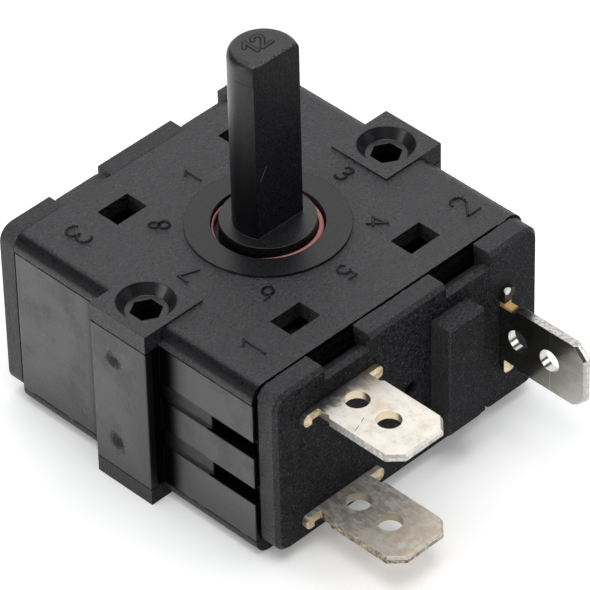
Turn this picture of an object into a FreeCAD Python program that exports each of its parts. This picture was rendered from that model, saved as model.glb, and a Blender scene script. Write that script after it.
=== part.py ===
"""Rotary switch: a cam switch in a square moulded case, with a D shaft and three push-on tabs.

Millimetres. The shaft's axis is Z, with the origin where it meets the underside of the case.
The three tabs leave the case towards -Y, and the two mounting ears stand out along X.
"""
import FreeCAD, Part
import math
import os
import re
import Sketcher

doc = FreeCAD.newDocument("rotary_switch")
sheet = doc.addObject("Spreadsheet::Sheet", "sizes")

# Driving sizes: alias, value in millimetres or degrees, and what it is.
SIZES = [
    ("body_width", 31.5, "case over its side walls"),
    ("body_height", 18.0, "case from its underside to the top of the cover"),
    ("joint_reach", 13.9, "shaft axis to the joint between the case and either end block"),
    ("seam", 0.12, "gap at the joint between the case and an end block"),
    ("cover_seam", 0.02, "the same, between the cover and the rear block"),
    ("front_reach", 16.1, "shaft axis to the face that the tabs leave"),
    ("rear_reach", 15.7, "shaft axis to the back of the case"),
    ("block_width", 30.8, "front block, from side to side; the rear block is as wide as the case"),
    ("block_low", 1.1, "underside of the end blocks above the case's underside"),
    ("block_corner", 1.45, "corner radius of the end blocks"),
    ("block_edge", 0.35, "bevel round the front block's outer face"),
    ("plug_gap", 1.8, "rim of the index wheel to the inner face of either end block"),
    ("plug_round", 0.8, "rounding of a plug's upper inner edge"),
    ("slide_gap", 0.1, "clearance between an end block's plug and the case"),
    ("wall", 1.5, "side walls of the case"),
    ("floor_thick", 0.9, "floor of the case, above the base plate"),
    ("cover_thick", 1.6, "top cover"),
    ("base_thick", 1.65, "base plate"),
    ("cover_round", 1.45, "rounding along the cover's side edges"),
    ("base_round", 1.5, "rounding along the base plate's side edges"),
    ("ear_reach", 34.6, "case over its two ears"),
    ("ear_width", 6.4, "each ear, along Y"),
    ("column_gap", 0.5, "rim of the index wheel to the inner face of a screw column"),
    ("pad_inner", 10.7, "shaft axis to the inner edge of an ear pad"),
    ("pad_rise", 0.2, "ear pads above the cover"),
    ("hole_pitch", 28.0, "distance between the two screw holes"),
    ("hex_flats", 2.44, "screw holes across the flats"),
    ("cone_top", 4.95, "mouth of the cover's screw cones"),
    ("cone_foot", 3.6, "foot of the cover's screw cones"),
    ("cone_deep", 0.9, "depth of the cover's screw cones"),
    ("dial_width", 14.0, "smooth raised ring round the shaft"),
    ("dial_rise", 0.25, "smooth ring above the cover"),
    ("seal_bore", 9.6, "recess that holds the seal ring"),
    ("seal_deep", 1.25, "depth of that recess"),
    ("seal_wall", 0.55, "seal ring, from inside to outside"),
    ("seal_drop", 0.3, "top of the seal ring below the smooth ring"),
    ("hub_width", 12.2, "hub under the cover"),
    ("hub_deep", 1.45, "hub below the cover's underside"),
    ("collar_width", 8.2, "collar of the shaft"),
    ("collar_rise", 0.7, "collar above the cover"),
    ("run_gap", 0.05, "radial clearance of the shaft's two bearings"),
    ("end_gap", 0.1, "axial play of the shaft"),
    ("shaft_width", 6.0, "round part of the shaft's end"),
    ("shaft_flat", 1.48, "shaft axis to the flat of the D"),
    ("shaft_top", 36.35, "top of the shaft above the case's underside"),
    ("tip_high", 1.2, "cone at the shaft's end, height"),
    ("tip_in", 0.5, "the same, how far it narrows on each side"),
    ("shaft_rim", 0.2, "bevel round the shaft's end"),
    ("flange_width", 11.0, "flange that keeps the shaft in"),
    ("square_size", 6.0, "square part that drives the cams"),
    ("key_gap", 0.03, "clearance of the cams on the square, each side"),
    ("journal_width", 5.0, "lower journal of the shaft"),
    ("boss_wall", 1.7, "wall of the case's boss round the journal"),
    ("stack_half", 3.1, "half the height of the stack of cams"),
    ("window_x", 7.0, "windows of the cover, sideways from the axis"),
    ("window_y", 10.1, "windows of the cover, along Y from the axis"),
    ("window_wide", 3.4, "windows, along X"),
    ("window_deep", 2.4, "windows, along Y"),
    ("notch_inner", 4.4, "front block's notches, nearer end from the axis"),
    ("notch_long", 5.3, "front block's notches, along X"),
    ("rear_notch_left", 4.5, "rear block's left notch, nearer end from the axis"),
    ("rear_notch_right", 4.0, "rear block's right notch, nearer end from the axis"),
    ("rear_notch_long", 5.55, "rear block's notches, along X"),
    ("tongue_reach_left", 15.4, "shaft axis to the tip of the cover's left tongue"),
    ("tongue_reach_right", 14.85, "shaft axis to the tip of the cover's right tongue"),
    ("notch_drop", 1.4, "depth of the notches at the outer face"),
    ("notch_ledge", 0.8, "level part of a notch's floor, from the outer face"),
    ("notch_fall", 0.9, "fall of the rest of the notch's floor towards the cover"),
    ("tongue_drop", 0.4, "top of the cover's tongues below the cover"),
    ("tongue_gap", 0.12, "clearance round a tongue in its notch"),
    ("tongue_round", 0.5, "corner rounding of a tongue"),
    ("slot_back", 8.85, "side slots, their closed end from the axis"),
    ("slot_high", 1.8, "side slots, along Z"),
    ("slot_pitch", 5.0, "side slots, from the lower to the upper one"),
    ("groove_short", 0.5, "ends of the shallow groove from the slot and from the ear"),
    ("groove_deep", 0.25, "shallow groove between an ear and a slot"),
    ("rib_left", 2.63, "rib between the tabs, its left side"),
    ("rib_wide", 4.18, "rib, along X"),
    ("rib_proud", 2.1, "rib, out of the front face"),
    ("rib_low", 3.9, "rib, its foot"),
    ("rib_under", 2.76, "rib, its head below the top of the cover"),
    ("rib_round", 0.8, "rounding of the rib's lower right corner"),
    ("rib_edge", 0.15, "bevel round the rib's face"),
    ("dimple_x", 0.28, "blind hole in the front face, along X"),
    ("dimple_lift", 0.3, "blind hole above the middle of the upright tab"),
    ("dimple_width", 1.6, "blind hole, diameter"),
    ("dimple_deep", 1.0, "blind hole, depth"),
    ("nick_x", 9.1, "nick in the front block's lower edge"),
    ("nick_size", 0.65, "the same, its width and height"),
    ("tab_width", 6.35, "push-on tabs"),
    ("tab_thick", 0.8, "push-on tabs, thickness"),
    ("tab_reach", 25.65, "shaft axis to the tabs' ends"),
    ("tab_corner", 1.05, "cut corners of the tabs' ends"),
    ("tab_bevel", 0.22, "bevel of the tabs' ends"),
    ("tab_hole", 2.14, "holes in the tabs"),
    ("tab_hole_near", 18.13, "first hole from the shaft axis"),
    ("tab_hole_far", 21.68, "second hole from the shaft axis"),
    ("tab_x", 8.1, "two flat tabs, their middle sideways from the axis"),
    ("upper_under", 3.57, "upper tab, middle of its thickness below the top of the cover"),
    ("lower_level", 3.33, "lower tab, middle of its thickness above the case's underside"),
    ("common_gap", 2.6, "upright tab to the inside of the case's side wall"),
    ("mid_lift", 0.22, "upright tab and cam stack above the middle of the two flat tabs"),
    ("slip_gap", 0.04, "clearance of a tab in its slot, each side"),
    ("lug_out", 1.35, "locking lugs beside a tab"),
    ("lug_deep", 0.5, "locking lugs, out of the front face"),
    ("lug_turn", 0.45, "turned end of a locking lug, past the tab's thickness"),
    ("lug_wide", 0.9, "turned end of a locking lug, its width"),
    ("lug_round", 0.5, "rounding of a locking lug's outer corners"),
    ("neck_in", 0.25, "narrow neck of a tab outside the front face, each side"),
    ("neck_end", 18.1, "shaft axis to the end of that neck"),
    ("neck_slope", 0.3, "length of the neck's shoulders"),
    ("contact_x", 3.6, "contacts, sideways from the axis"),
    ("contact_width", 2.6, "contact heads"),
    ("contact_open", 0.85, "air between two contact heads"),
    ("contact_taper", 15.0, "degrees, slope of the contact heads' sides"),
    ("shank_width", 1.4, "contact and rivet shanks"),
    ("stake_width", 2.2, "staked ends of the shanks"),
    ("stake_high", 0.3, "staked ends, height"),
    ("leaf_thick", 0.3, "contact springs"),
    ("leaf_wide", 3.0, "contact springs, along Y"),
    ("leaf_end", 0.5, "contact springs, past the contact heads"),
    ("hump_x", 2.5, "cam riding hump of a contact spring, along X"),
    ("hump_gap", 0.075, "the same, to the floor of the cam's valleys"),
    ("hump_run", 1.1, "the same, half its length"),
    ("hump_flat", 0.3, "the same, half its crest"),
    ("flange_long", 2.85, "upright tab's flanges, from the middle of its thickness"),
    ("rivet_in", 1.65, "rivets of the contact springs, from the same middle"),
    ("wheel_width", 20.4, "index wheel"),
    ("wheel_thick", 1.2, "index wheel, thickness"),
    ("notch_count", 8, "index wheel, notches in a turn"),
    ("notch_deep", 0.75, "index wheel, depth of its notches"),
    ("notch_half", 1.5, "index wheel, half width of a notch at the rim"),
    ("notch_floor", 0.5, "index wheel, half width of a notch at its bottom"),
    ("notch_over", 0.2, "index wheel, where a notch's sides are measured, past the rim"),
    ("cam_base", 0.6, "cams, disc under the track"),
    ("cam_lift", 0.8, "cams, height of the track's lobes"),
    ("cam_inset", 0.2, "rim of the cams inside the rim of the index wheel"),
    ("track_wide", 2.1, "cams, width of the track"),
    ("cam_hub", 10.0, "cams, hub"),
    ("cam_ramp", 0.7, "cams, ramps at the ends of a lobe"),
    ("valley_half", 19.5, "degrees, from the middle of a switch position to the end of a lobe"),
    ("step_angle", 45.0, "degrees, from one switch position to the next"),
    ("detent_thick", 0.35, "detent spring"),
    ("detent_wide", 1.0, "detent spring, along Z"),
    ("detent_half", 9.6, "detent spring, half its length"),
    ("detent_rise", 0.6, "detent spring, its shoulders in front of its ends"),
    ("detent_foot", 2.2, "detent spring, half its hump at the shoulders"),
    ("detent_tip", 0.4, "detent spring, half its hump at the tip"),
    ("detent_gap", 0.1, "detent spring to the bottom of a notch"),
    ("seat_long", 2.6, "detent spring seats, along X"),
    ("seat_deep", 1.1, "detent spring seats, in front of the rear block's plug"),
    ("seat_grip", 1.1, "length of spring inside a seat"),
    ("seat_high", 3.0, "detent spring seats, along Z"),
    ("over", 1.0, "how far cutting and joining shapes reach past a face"),
]
for row, (alias, value, meaning) in enumerate(SIZES, start=1):
    sheet.set("A%d" % row, alias)
    sheet.set("B%d" % row, str(value))
    sheet.set("C%d" % row, meaning)
    sheet.setAlias("B%d" % row, alias)
doc.recompute()

# Heights and places that follow from the driving sizes. Each may use the ones above it.
DERIVED = [
    ("cover_under", "body_height - cover_thick"),
    ("floor_top", "base_thick + floor_thick"),
    ("hub_foot", "cover_under - hub_deep"),
    ("dial_top", "body_height + dial_rise"),
    ("seal_floor", "dial_top - seal_deep"),
    ("collar_top", "body_height + collar_rise"),
    ("flange_top", "hub_foot - end_gap"),
    ("upper_level", "body_height - upper_under"),
    ("mid_level", "(upper_level + lower_level) / 2 + mid_lift"),
    ("common_x", "body_width / 2 - wall - common_gap - tab_thick / 2"),
    ("flange_inner", "common_x - flange_long"),
    ("rivet_x", "common_x - rivet_in"),
    ("wheel_half", "wheel_thick / 2"),
    ("stack_top", "mid_level + stack_half"),
    ("stack_foot", "mid_level - stack_half"),
    ("plug_reach", "wheel_width / 2 + plug_gap"),
    ("column_inner", "wheel_width / 2 + column_gap"),
    ("track_outer", "wheel_width - 2 * cam_inset"),
    ("track_inner", "track_outer - 2 * track_wide"),
    # The springs' humps and the contacts stand over the middle of the track.
    ("contact_y", "sqrt(((track_outer - track_wide) / 2) ^ 2 - hump_x ^ 2)"),
    # The faces that carry contacts. Two heads of equal height fill the room between a tab and
    # a spring, but for the air that they leave when open.
    ("leaf_half", "tab_width / 2 - tab_thick - leaf_thick"),
    ("hump_high", "leaf_half - wheel_half - cam_base - hump_gap"),
    ("upper_face", "upper_level - tab_thick / 2"),
    ("lower_face", "lower_level + tab_thick / 2"),
    ("upper_spring_face", "mid_level + leaf_half + leaf_thick"),
    ("lower_spring_face", "mid_level - leaf_half - leaf_thick"),
    ("upper_head", "(upper_face - upper_spring_face - contact_open) / 2"),
    ("lower_head", "(lower_spring_face - lower_face - contact_open) / 2"),
    # The angle of the springs' humps round the shaft, and of the two ends of a valley there.
    ("rest_angle", "atan(-contact_y / hump_x)"),
    ("valley_start", "rest_angle - valley_half * 1 deg"),
    ("valley_end", "rest_angle + valley_half * 1 deg"),
]


def word_finder(words):
    return re.compile(r"\b(" + "|".join(words) + r")\b")


ALIASES = word_finder([alias for alias, value, meaning in SIZES])
DERIVED_NAMES = word_finder([name for name, text in DERIVED])
DERIVED_TEXTS = dict(DERIVED)


def full(text):
    """An expression in the sheet's own cells, with every derived name written out."""
    text = str(text)
    while DERIVED_NAMES.search(text):
        text = DERIVED_NAMES.sub(lambda found: "(" + DERIVED_TEXTS[found.group(1)] + ")", text)
    return ALIASES.sub(r"sizes.\1", text)


def num(text):
    """The present value of an expression."""
    return float(sheet.evalExpression(full(text)))


def bind(thing, name, text):
    thing.setExpression(name, full(text))


def new_body(name):
    body = doc.addObject("PartDesign::Body", name)
    body.Label = name
    return body


class Profile:
    """A sketch on one of its body's own planes, lifted along the plane's normal."""

    def __init__(self, body, name, plane="XY_Plane", lift=0):
        self.body = body
        self.sketch = body.newObject("Sketcher::SketchObject", body.Name + "_" + name)
        base = [item for item in body.Origin.OriginFeatures if item.Role == plane][0]
        self.sketch.AttachmentSupport = (base, [""])
        self.sketch.MapMode = "FlatFace"
        bind(self.sketch, "AttachmentOffset.Base.z", lift)

    def pin(self, geometry, point, x, y):
        """Hold a point at x, y from the origin."""
        for kind, axis, text in (("DistanceX", -2, x), ("DistanceY", -1, y)):
            if str(text) == "0":
                self.sketch.addConstraint(Sketcher.Constraint("PointOnObject", geometry, point, axis))
            else:
                rule = Sketcher.Constraint(kind, -1, 1, geometry, point, num(text))
                index = self.sketch.addConstraint(rule)
                bind(self.sketch, "Constraints[%d]" % index, text)

    def outline(self, points):
        """A closed polygon."""
        first = self.sketch.GeometryCount
        places = [FreeCAD.Vector(num(x), num(y), 0) for x, y in points]
        count = len(points)
        for index in range(count):
            line = Part.LineSegment(places[index], places[(index + 1) % count])
            self.sketch.addGeometry(line, False)
        for index in range(count):
            after = first + (index + 1) % count
            self.sketch.addConstraint(Sketcher.Constraint("Coincident", first + index, 2, after, 1))
        for index, (x, y) in enumerate(points):
            self.pin(first + index, 1, x, y)
        return self

    def box(self, x0, y0, x1, y1):
        return self.outline([(x0, y0), (x1, y0), (x1, y1), (x0, y1)])

    def circle(self, x, y, width):
        """A circle of the given diameter."""
        centre = FreeCAD.Vector(num(x), num(y), 0)
        shape = Part.Circle(centre, FreeCAD.Vector(0, 0, 1), num(width) / 2)
        geometry = self.sketch.addGeometry(shape, False)
        if str(x) == "0" and str(y) == "0":
            self.sketch.addConstraint(Sketcher.Constraint("Coincident", geometry, 3, -1, 1))
        else:
            self.pin(geometry, 3, x, y)
        index = self.sketch.addConstraint(Sketcher.Constraint("Diameter", geometry, num(width)))
        bind(self.sketch, "Constraints[%d]" % index, width)
        return self

    def feature(self, kind, name, length):
        made = self.body.newObject("PartDesign::" + kind, self.body.Name + "_" + name)
        made.Profile = self.sketch
        bind(made, "Length", length)
        return made

    def pad(self, length, name="pad", back=False):
        """Add material along the plane's normal, or against it."""
        made = self.feature("Pad", name, length)
        made.Reversed = back
        return made

    def cut(self, length, name="cut", back=False):
        """Take material away along the plane's normal, or against it."""
        made = self.feature("Pocket", name, length)
        made.Reversed = not back
        return made

    def spin(self, name="turned"):
        """Turn the profile about the vertical axis."""
        made = self.body.newObject("PartDesign::Revolution", self.body.Name + "_" + name)
        made.Profile = self.sketch
        made.ReferenceAxis = (self.sketch, ["V_Axis"])
        made.Angle = 360
        return made


def axis_of(body, role):
    return [item for item in body.Origin.OriginFeatures if item.Role == role][0]


def repeat_round(body, feature, count, name):
    """Copies of a feature at equal steps round the vertical axis."""
    made = body.newObject("PartDesign::PolarPattern", body.Name + "_" + name)
    made.Originals = [feature]
    made.Axis = (axis_of(body, "Z_Axis"), [""])
    made.Angle = 360
    bind(made, "Occurrences", count)
    body.Tip = made
    return made


def mirror(body, features, plane, name):
    """The same features on the other side of a plane of the body."""
    made = body.newObject("PartDesign::Mirrored", body.Name + "_" + name)
    made.Originals = features
    made.MirrorPlane = (axis_of(body, plane), [""])
    body.Tip = made
    return made


def soften(body, size, pick, name, kind="Fillet"):
    """Round or bevel the edges of the body that pick chooses by their two ends."""
    doc.recompute()
    tip = body.Tip
    names = []
    for index, edge in enumerate(tip.Shape.Edges, start=1):
        ends = [vertex.Point for vertex in edge.Vertexes]
        if len(ends) == 2 and pick(ends[0], ends[1]):
            names.append("Edge%d" % index)
    made = body.newObject("PartDesign::" + kind, body.Name + "_" + name)
    made.Base = (tip, names)
    bind(made, "Radius" if kind == "Fillet" else "Size", size)
    return made


TOLERANCE = 0.001


def near(a, b):
    return abs(a - b) < TOLERANCE


def case_outline(body, name, low, thick, edge_round, edge_level, rear="joint_reach"):
    """A plate of the case's outline, rounded along its sides, with its two ears."""
    plate = Profile(body, name + "_plate", lift=low)
    plate.box("-body_width / 2", "-joint_reach", "body_width / 2", rear).pad(thick, name)
    if edge_round is not None:
        side = num("body_width / 2")
        level = num(edge_level)

        def is_side_edge(a, b):
            on_side = near(abs(a.x), side) and near(a.x, b.x)
            return on_side and near(a.z, level) and near(b.z, level)

        soften(body, edge_round, is_side_edge, name + "_round")


def cut_screw_holes(body, low, length):
    """The two six-sided screw holes of the ears, each with two flats across X."""
    holes = Profile(body, "screw_holes", lift=low)
    corner = "hex_flats / sqrt(3)"
    for middle in ("-1 * hole_pitch / 2", "hole_pitch / 2"):
        left = middle + " - hex_flats / 2"
        right = middle + " + hex_flats / 2"
        holes.outline([
            (middle, corner), (left, corner + " / 2"), (left, "-1 * " + corner + " / 2"),
            (middle, "-1 * " + corner), (right, "-1 * " + corner + " / 2"), (right, corner + " / 2"),
        ])
    holes.cut(length, "screw_holes")


# The cover: plate, ear pads, smooth ring, hub, tongues, windows and screw cones.
def make_top_cover():
    body = new_body("top_cover")
    case_outline(body, "plate", "cover_under", "cover_thick", "cover_round", "body_height",
                 "joint_reach + seam - cover_seam")
    pads = Profile(body, "ear_pads", lift="cover_under")
    for side in ("-", ""):
        pads.box(side + "pad_inner", "-ear_width / 2", side + "ear_reach / 2", "ear_width / 2")
    pads.pad("cover_thick + pad_rise", "ears")
    for name, side in (("left", "-1 * "), ("right", "")):
        start = "rear_notch_" + name
        tongue = Profile(body, "tongue_" + name, lift="body_height - notch_drop + tongue_gap")
        tongue.box(side + "(" + start + " + tongue_gap)", "joint_reach - over",
                   side + "(" + start + " + rear_notch_long - tongue_gap)", "tongue_reach_" + name)
        tongue.pad("notch_drop - tongue_gap - tongue_drop", "tongue_" + name)
    tips = [num("tongue_reach_left"), num("tongue_reach_right")]
    soften(body, "tongue_round", lambda a, b: near(a.x, b.x) and near(a.y, b.y)
           and any(near(a.y, tip) for tip in tips), "tips")
    dial = Profile(body, "dial", lift="cover_under")
    dial.circle(0, 0, "dial_width").pad("cover_thick + dial_rise", "dial")
    Profile(body, "hub", lift="cover_under").circle(0, 0, "hub_width").pad("hub_deep", "hub", back=True)
    Profile(body, "seal", lift="dial_top").circle(0, 0, "seal_bore").cut("seal_deep", "seal", back=True)
    bore = Profile(body, "bearing", lift="hub_foot")
    bore.circle(0, 0, "collar_width + 2 * run_gap").cut("cover_thick + hub_deep + dial_rise", "bearing")
    windows = Profile(body, "windows", lift="cover_under")
    for x in ("-", ""):
        for y in ("-", ""):
            windows.box(x + "window_x - window_wide / 2", y + "window_y - window_deep / 2",
                        x + "window_x + window_wide / 2", y + "window_y + window_deep / 2")
    windows.cut("cover_thick", "windows")
    cut_screw_holes(body, "cover_under", "cover_thick + pad_rise")
    for side in ("-", ""):
        name = "top_cover_cone" + ("_left" if side else "_right")
        cone = body.newObject("PartDesign::SubtractiveCone", name)
        cone.AttachmentSupport = (axis_of(body, "XY_Plane"), [""])
        cone.MapMode = "FlatFace"
        bind(cone, "AttachmentOffset.Base.x", side + "hole_pitch / 2")
        bind(cone, "AttachmentOffset.Base.z", "body_height + pad_rise - cone_deep")
        bind(cone, "Radius1", "cone_foot / 2")
        bind(cone, "Radius2", "cone_top / 2")
        bind(cone, "Height", "cone_deep")
    return body


def make_bottom_cover():
    body = new_body("bottom_cover")
    case_outline(body, "plate", "0", "base_thick", "base_round", "0")
    pads = Profile(body, "ear_pads")
    for side in ("-", ""):
        pads.box(side + "pad_inner", "-ear_width / 2", side + "ear_reach / 2", "ear_width / 2")
    pads.pad("base_thick", "ears")
    cut_screw_holes(body, "0", "base_thick")
    return body


# The case: floor, side walls, screw columns, lower bearing, side slots and their grooves.
def make_middle_body():
    body = new_body("middle_body")
    height = "(body_height - cover_thick - base_thick)"
    outer = Profile(body, "outer", lift="base_thick")
    outer.box("-body_width / 2", "-joint_reach", "body_width / 2", "joint_reach").pad(height, "outer")
    ears = Profile(body, "ears", lift="base_thick")
    ears.box("-ear_reach / 2", "-ear_width / 2", "ear_reach / 2", "ear_width / 2").pad(height, "ears")
    room = Profile(body, "room", lift="floor_top")
    inside = "(body_width / 2 - wall)"
    room.outline([
        ("-1 * " + inside, "-joint_reach - over"), (inside, "-joint_reach - over"),
        (inside, "-ear_width / 2"), ("column_inner", "-ear_width / 2"),
        ("column_inner", "ear_width / 2"), (inside, "ear_width / 2"),
        (inside, "joint_reach + over"), ("-1 * " + inside, "joint_reach + over"),
        ("-1 * " + inside, "ear_width / 2"), ("-1 * column_inner", "ear_width / 2"),
        ("-1 * column_inner", "-ear_width / 2"), ("-1 * " + inside, "-ear_width / 2"),
    ])
    room.cut(height, "room")
    boss = Profile(body, "boss", lift="base_thick")
    boss.circle(0, 0, "journal_width + 2 * boss_wall").pad("stack_foot - end_gap - base_thick", "boss")
    bearing = Profile(body, "bearing", lift="base_thick")
    bearing.circle(0, 0, "journal_width + 2 * run_gap").cut(height, "bearing")
    cut_screw_holes(body, "base_thick", height)
    slots = Profile(body, "slots", "YZ_Plane", lift="-body_width / 2 - over")
    grooves = Profile(body, "grooves", "YZ_Plane", lift="-body_width / 2")
    for middle in ("mid_level + slot_pitch / 2", "mid_level - slot_pitch / 2"):
        low = middle + " - slot_high / 2"
        high = middle + " + slot_high / 2"
        slots.box("-joint_reach - over", low, "-slot_back", high)
        grooves.box("-slot_back - groove_short", low, "-ear_width / 2 + groove_short", high)
    slots.cut("body_width + 2 * over", "slots")
    left = grooves.cut("groove_deep", "grooves")
    doc.recompute()
    mirror(body, [left], "YZ_Plane", "grooves_right")
    return body


# An end block: a plate across the case's open end, with a plug that slides between the walls.
def end_block(name, reach, width):
    body = new_body(name)
    plate = Profile(body, "plate", "XZ_Plane", lift="joint_reach + seam")
    plate.box("-" + width + " / 2", "block_low", width + " / 2", "body_height")
    plate.pad(reach + " - joint_reach - seam", "plate")
    half = num(width + " / 2")
    soften(body, "block_corner", lambda a, b: near(abs(a.x), half) and near(a.x, b.x)
           and near(a.z, b.z), "corners")
    plug = Profile(body, "plug", "XZ_Plane", lift="plug_reach")
    plug.box("-1 * (body_width / 2 - wall - slide_gap)", "floor_top + slide_gap",
             "body_width / 2 - wall - slide_gap", "cover_under - slide_gap")
    plug.pad("joint_reach + seam - plug_reach", "plug")
    inner = -num("plug_reach")
    top = num("cover_under - slide_gap")
    # The rounding is limited to half the depth of the plug.
    rounding = "min(plug_round; (joint_reach + seam - plug_reach) / 2)"
    soften(body, rounding, lambda a, b: near(a.y, inner) and near(b.y, inner)
           and near(a.z, top) and near(b.z, top), "plug_edge")
    return body


def cut_notches(body, reach, left_start, right_start, long):
    """Two notches in the top edge of an end block, with floors that fall towards the cover."""
    for name, start in (("left", left_start), ("right", right_start)):
        notch = Profile(body, "notch_" + name, "YZ_Plane", lift=start)
        top = "body_height + over"
        floor = "body_height - notch_drop"
        notch.outline([
            ("-1 * " + reach + " - over", top), ("-1 * " + reach + " - over", floor),
            ("-1 * " + reach + " + notch_ledge", floor),
            ("-joint_reach - seam", floor + " - notch_fall"), ("-joint_reach - seam", top),
        ])
        notch.cut(long, "notch_" + name)


def make_front_block():
    body = end_block("front_terminal_block", "front_reach", "block_width")
    face = -num("front_reach")
    soften(body, "block_edge", lambda a, b: near(a.y, face) and near(b.y, face), "face", "Chamfer")
    cut_notches(body, "front_reach", "-notch_inner - notch_long", "notch_inner", "notch_long")
    rib = Profile(body, "rib", "XZ_Plane", lift="front_reach")
    rib.box("rib_left", "rib_low", "rib_left + rib_wide", "body_height - rib_under").pad("rib_proud", "rib")
    right = num("rib_left + rib_wide")
    soften(body, "rib_round", lambda a, b: near(a.x, right) and near(b.x, right)
           and near(a.z, num("rib_low")) and near(b.z, num("rib_low")), "rib_corner")
    proud = -num("front_reach + rib_proud")
    soften(body, "rib_edge", lambda a, b: near(a.y, proud) and near(b.y, proud), "rib_edges", "Chamfer")
    dimple = Profile(body, "dimple", "XZ_Plane", lift="front_reach")
    dimple.circle("dimple_x", "mid_level + dimple_lift", "dimple_width")
    dimple.cut("dimple_deep", "dimple", back=True)
    nick = Profile(body, "nick", "XZ_Plane", lift="front_reach")
    nick.box("nick_x", "block_low - over", "nick_x + nick_size", "block_low + nick_size + block_edge")
    nick.cut("nick_size", "nick", back=True)
    slots = Profile(body, "tab_slots", "XZ_Plane", lift="front_reach")
    half = "(tab_width / 2 + slip_gap)"
    thin = "(tab_thick / 2 + slip_gap)"
    for level in ("upper_level", "lower_level"):
        slots.box("-tab_x - " + half, level + " - " + thin, "-tab_x + " + half, level + " + " + thin)
    slots.box("common_x - " + thin, "mid_level - " + half, "common_x + " + thin, "mid_level + " + half)
    slots.cut("front_reach - plug_reach", "tab_slots", back=True)
    return body


def make_rear_block():
    body = end_block("rear_block", "rear_reach", "body_width")
    # The case's left is the drawing's right, because the block is turned round below.
    cut_notches(body, "rear_reach", "-rear_notch_right - rear_notch_long", "rear_notch_left",
                "rear_notch_long")
    seats = Profile(body, "seats", "XZ_Plane", lift="plug_reach - seat_deep")
    for side in ("-1 * ", ""):
        seats.box(side + "(detent_half - seat_grip)", "mid_level - seat_high / 2",
                  side + "(detent_half - seat_grip + seat_long)", "mid_level + seat_high / 2")
    seats.pad("seat_deep", "seats")
    groove = Profile(body, "spring_groove", "XZ_Plane", lift="plug_reach - seat_deep")
    for side in ("-1 * ", ""):
        groove.box(side + "(detent_half - seat_grip)", "mid_level - detent_wide / 2 - slip_gap",
                   side + "(detent_half + slip_gap)", "mid_level + detent_wide / 2 + slip_gap")
    groove.cut("seat_deep", "spring_groove")
    # The block is drawn as a front block and turned half a turn to the back of the case.
    half_turn = FreeCAD.Rotation(FreeCAD.Vector(0, 0, 1), 180)
    body.Placement = FreeCAD.Placement(FreeCAD.Vector(0, 0, 0), half_turn)
    return body


# The shaft: D end, collar, flange, square and lower journal, moulded as one.
def make_shaft():
    body = new_body("shaft")
    foot = "base_thick + end_gap"
    turned = Profile(body, "turned", "XZ_Plane")
    turned.outline([
        (0, foot), ("journal_width / 2", foot), ("journal_width / 2", "stack_top"),
        ("flange_width / 2", "stack_top"), ("flange_width / 2", "flange_top"),
        ("collar_width / 2", "flange_top"), ("collar_width / 2", "collar_top"),
        ("shaft_width / 2", "collar_top"), ("shaft_width / 2", "shaft_top - tip_high"),
        ("shaft_width / 2 - tip_in", "shaft_top"), (0, "shaft_top"),
    ])
    turned.spin()
    half = "square_size / 2"
    square = Profile(body, "square", lift="stack_foot")
    square.box("-" + half, "-" + half, half, half).pad("stack_top - stack_foot", "square")
    flat = Profile(body, "flat", lift="collar_top")
    flat.box("-shaft_width", "-shaft_width", "shaft_width", "-shaft_flat").cut("shaft_top", "flat")
    top = num("shaft_top")
    soften(body, "shaft_rim", lambda a, b: near(a.z, top) and near(b.z, top), "rim", "Chamfer")
    return body


# A cam: a disc on the square with a raised track that lifts a contact spring.
def make_cam(name, up, valley_from, valley_to, count):
    """The track is open between the two angles, count times in a turn."""
    body = new_body(name)
    start = "mid_level + wheel_thick / 2" if up else "mid_level - wheel_thick / 2"
    back = not up
    end = "(stack_half - wheel_thick / 2)"
    Profile(body, "disc", lift=start).circle(0, 0, "track_outer").pad("cam_base", "disc", back)
    face = start + (" + cam_base" if up else " - cam_base")
    track = Profile(body, "track", lift=face)
    track.circle(0, 0, "track_outer").circle(0, 0, "track_inner").pad("cam_lift", "track", back)
    wedge = Profile(body, "valley", lift=face)
    wedge.outline([(0, 0)] + [("track_outer * cos(" + side + ")", "track_outer * sin(" + side + ")")
                              for side in (valley_from, valley_to)])
    cut = wedge.cut("cam_lift", "valley", back)
    doc.recompute()
    repeat_round(body, cut, count, "valleys")
    crest = num(face) + (num("cam_lift") if up else -num("cam_lift"))

    def is_lobe_end(a, b):
        on_crest = near(a.z, crest) and near(b.z, crest)
        same_radius = near(math.hypot(a.x, a.y), math.hypot(b.x, b.y))
        return on_crest and not same_radius

    soften(body, "cam_ramp", is_lobe_end, "ramps", "Chamfer")
    Profile(body, "hub", lift=start).circle(0, 0, "cam_hub").pad(end, "hub", back)
    bore = Profile(body, "key", lift=start)
    half = "(square_size / 2 + key_gap)"
    bore.box("-" + half, "-" + half, half, half).cut(end, "key", back)
    return body


def make_index_wheel():
    body = new_body("index_wheel")
    disc = Profile(body, "disc", lift="mid_level - wheel_half")
    disc.circle(0, 0, "wheel_width").pad("wheel_thick", "disc")
    notch = Profile(body, "notch", lift="mid_level - wheel_half")
    notch.outline([
        ("-notch_floor", "wheel_width / 2 - notch_deep"), ("notch_floor", "wheel_width / 2 - notch_deep"),
        ("notch_half", "wheel_width / 2 + notch_over"), ("-notch_half", "wheel_width / 2 + notch_over"),
    ])
    cut = notch.cut("wheel_thick", "notch")
    doc.recompute()
    repeat_round(body, cut, "notch_count", "notches")
    half = "(square_size / 2 + key_gap)"
    bore = Profile(body, "key", lift="mid_level - wheel_half")
    bore.box("-" + half, "-" + half, half, half).cut("wheel_thick", "key")
    return body


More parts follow.
